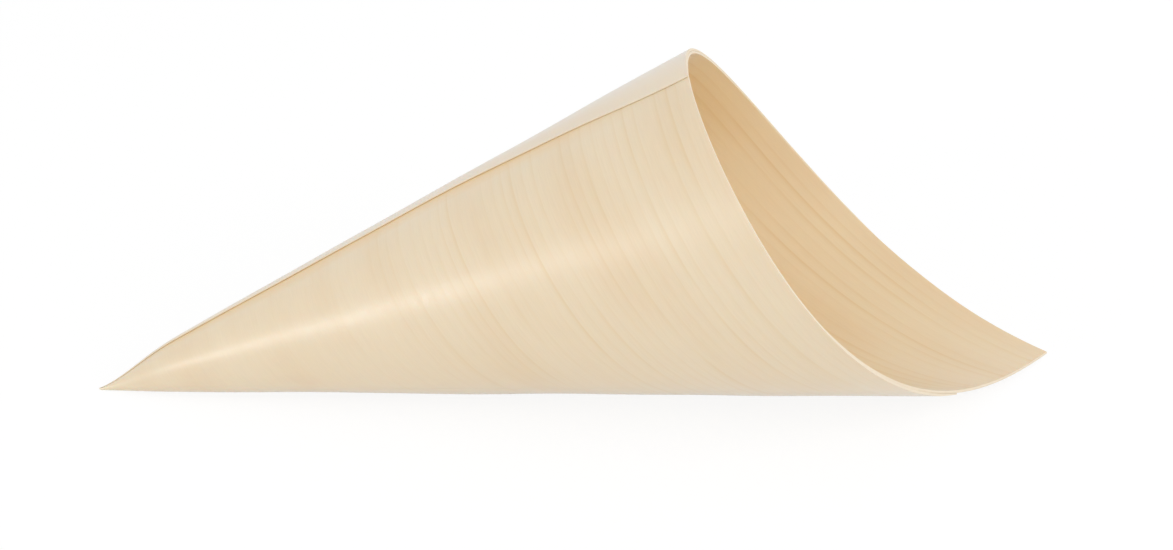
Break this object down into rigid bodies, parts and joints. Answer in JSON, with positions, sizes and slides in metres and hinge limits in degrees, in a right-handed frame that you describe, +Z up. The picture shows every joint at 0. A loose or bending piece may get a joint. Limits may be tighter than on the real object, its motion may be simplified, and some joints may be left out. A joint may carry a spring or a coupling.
{
  "type": "wood veneer food cone",
  "caption": "Pointed food cone rolled from an oblong sheet of pale wood veneer, lapped along its top, lying on its side with its slanted mouth open.",
  "frame": {"origin": "on the ground, below the middle of the cone's box as it lies on its side", "axes": "+X runs from the point to the mouth along the line that the cone lies on, +Z is up"},
  "size_m": [0.1794, 0.0708, 0.0633],
  "materials": {
    "veneer": "satin"
  },
  "bodies": {
    "root": {"veneer_cone": "veneer"}
  },
  "joints": []
}
